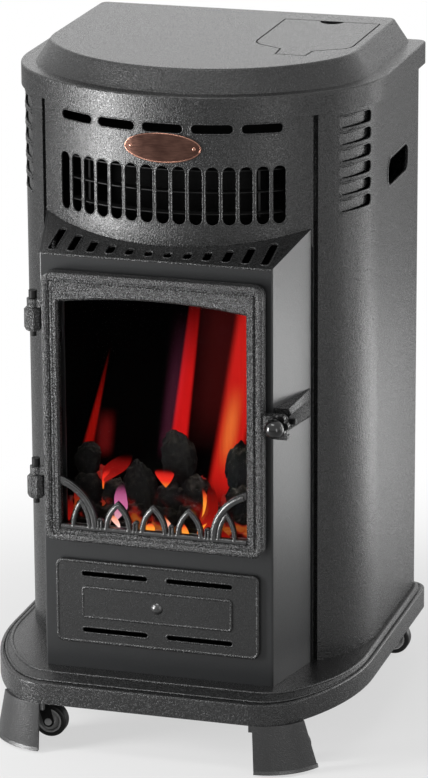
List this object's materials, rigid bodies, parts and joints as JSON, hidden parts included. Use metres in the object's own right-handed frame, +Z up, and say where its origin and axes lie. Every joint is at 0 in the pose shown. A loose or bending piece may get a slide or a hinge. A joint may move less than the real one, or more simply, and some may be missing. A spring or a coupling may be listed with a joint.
{
  "type": "portable gas cabinet heater",
  "caption": "Wheeled cabinet heater with a bowed louvred front, a hinged cast fire door over a coal-effect burner, a bevelled lid with a control flap and a lift-off back.",
  "frame": {"origin": "centre of the footprint, on the floor under the castors", "axes": "+Z up, -Y towards the fire door, +X to the right seen from the front"},
  "size_m": [0.443, 0.4514, 0.79],
  "materials": {
    "hammered_paint": "hammered anthracite enamel",
    "satin_paint": "satin grey metallic paint",
    "cast_paint": "textured casting, anthracite paint",
    "black_gloss": "glossy black",
    "black_plastic": "matte black",
    "grey_plastic": "matte grey",
    "copper": "brushed copper tone",
    "zinc": "zinc plated",
    "bright_steel": "bright rolled sheet",
    "black_steel": "black heat-proof paint",
    "fire_glass": "ceramic glass",
    "rope": "glass-fibre rope",
    "ceramic": "fired ceramic fibre",
    "brass": "machined brass",
    "tyre": "smooth"
  },
  "bodies": {
    "cabinet": {"plinth": "hammered_paint", "front_leg_left": "hammered_paint", "front_leg_right": "hammered_paint", "castor_mounts": "zinc", "base_pan": "black_steel", "side_panel_left": "satin_paint", "side_panel_right": "satin_paint", "upper_front_panel": "hammered_paint", "badge_plate": "copper", "badge_rivets": "copper", "firebox_surround": "hammered_paint", "top_grille": "hammered_paint", "lower_vent_panel": "hammered_paint", "lid_top": "satin_paint", "control_tray": "black_steel", "gas_valve": "brass", "igniter_body": "black_plastic", "feed_pipe": "zinc", "hose_tail": "brass", "hinge_brackets": "cast_paint", "hinge_pins": "black_steel", "firebox_liner": "black_steel", "reflector": "bright_steel", "coal_bed": "ceramic", "burner_tray": "zinc", "pilot_assembly": "bright_steel", "heat_shield": "bright_steel", "baffle_strips": "bright_steel", "rear_frame": "satin_paint", "latch_keeper": "satin_paint", "panel_screws": "black_steel"},
    "door": {"door_frame": "cast_paint", "door_tracery": "cast_paint", "door_glass": "fire_glass", "glass_clips": "zinc", "door_seal": "rope"},
    "latch": {"latch_spindle": "black_steel", "latch_ball": "black_gloss"},
    "flap": {"control_flap": "satin_paint"},
    "spindle": {"valve_spindle": "brass"},
    "knob": {"control_knob": "black_plastic"},
    "button": {"igniter_button": "grey_plastic"},
    "back_panel": {"rear_panel": "satin_paint"},
    "swivel_fl": {"castor_fork_fl": "zinc", "castor_axle_fl": "zinc"},
    "wheel_fl": {"castor_hub_fl": "grey_plastic", "castor_tyre_fl": "tyre"},
    "swivel_fr": {"castor_fork_fr": "zinc", "castor_axle_fr": "zinc"},
    "wheel_fr": {"castor_hub_fr": "grey_plastic", "castor_tyre_fr": "tyre"},
    "swivel_bl": {"castor_fork_bl": "zinc", "castor_axle_bl": "zinc"},
    "wheel_bl": {"castor_hub_bl": "grey_plastic", "castor_tyre_bl": "tyre"},
    "swivel_br": {"castor_fork_br": "zinc", "castor_axle_br": "zinc"},
    "wheel_br": {"castor_hub_br": "grey_plastic", "castor_tyre_br": "tyre"}
  },
  "joints": [
    {"name": "door_hinge", "type": "hinge", "parent": "cabinet", "child": "door", "pos_m": [-0.141, -0.1775, 0.409], "axis": [0, 0, -1], "range_deg": [0, 110]},
    {"name": "latch_turn", "type": "hinge", "parent": "door", "child": "latch", "pos_m": [0.1475, -0.1775, 0.409], "axis": [0, 1, 0], "range_deg": [0, 90]},
    {"name": "flap_hinge", "type": "hinge", "parent": "cabinet", "child": "flap", "pos_m": [0.1135, -0.004, 0.7842], "axis": [1, 0, 0], "range_deg": [0, 100]},
    {"name": "knob_turn", "type": "hinge", "parent": "cabinet", "child": "spindle", "pos_m": [0.12, 0.11, 0.765], "axis": [0, 0, -1], "range_deg": [0, 225]},
    {"name": "knob_push", "type": "slide", "parent": "spindle", "child": "knob", "axis": [0, 0, -1], "range_m": [0, 0.003], "stiffness_N_per_m": 800, "springref_m": -0.002},
    {"name": "igniter_push", "type": "slide", "parent": "cabinet", "child": "button", "axis": [0, 0, -1], "range_m": [0, 0.004], "stiffness_N_per_m": 800, "springref_m": -0.002},
    {"name": "rear_panel_lift_off", "type": "slide", "parent": "cabinet", "child": "back_panel", "axis": [0, 1, 0], "range_m": [0, 0.35]},
    {"name": "castor_swivel_fl", "type": "hinge", "parent": "cabinet", "child": "swivel_fl", "pos_m": [-0.146, -0.165, 0.045], "axis": [0, 0, 1], "continuous": true},
    {"name": "wheel_roll_fl", "type": "hinge", "parent": "swivel_fl", "child": "wheel_fl", "pos_m": [-0.1325, -0.165, 0.02], "axis": [0, 1, 0], "continuous": true},
    {"name": "castor_swivel_fr", "type": "hinge", "parent": "cabinet", "child": "swivel_fr", "pos_m": [0.146, -0.165, 0.045], "axis": [0, 0, 1], "continuous": true},
    {"name": "wheel_roll_fr", "type": "hinge", "parent": "swivel_fr", "child": "wheel_fr", "pos_m": [0.1595, -0.165, 0.02], "axis": [0, 1, 0], "continuous": true},
    {"name": "castor_swivel_bl", "type": "hinge", "parent": "cabinet", "child": "swivel_bl", "pos_m": [-0.1715, 0.204, 0.045], "axis": [0, 0, 1], "continuous": true},
    {"name": "wheel_roll_bl", "type": "hinge", "parent": "swivel_bl", "child": "wheel_bl", "pos_m": [-0.158, 0.204, 0.02], "axis": [0, 1, 0], "continuous": true},
    {"name": "castor_swivel_br", "type": "hinge", "parent": "cabinet", "child": "swivel_br", "pos_m": [0.1715, 0.204, 0.045], "axis": [0, 0, 1], "continuous": true},
    {"name": "wheel_roll_br", "type": "hinge", "parent": "swivel_br", "child": "wheel_br", "pos_m": [0.185, 0.204, 0.02], "axis": [0, 1, 0], "continuous": true}
  ]
}
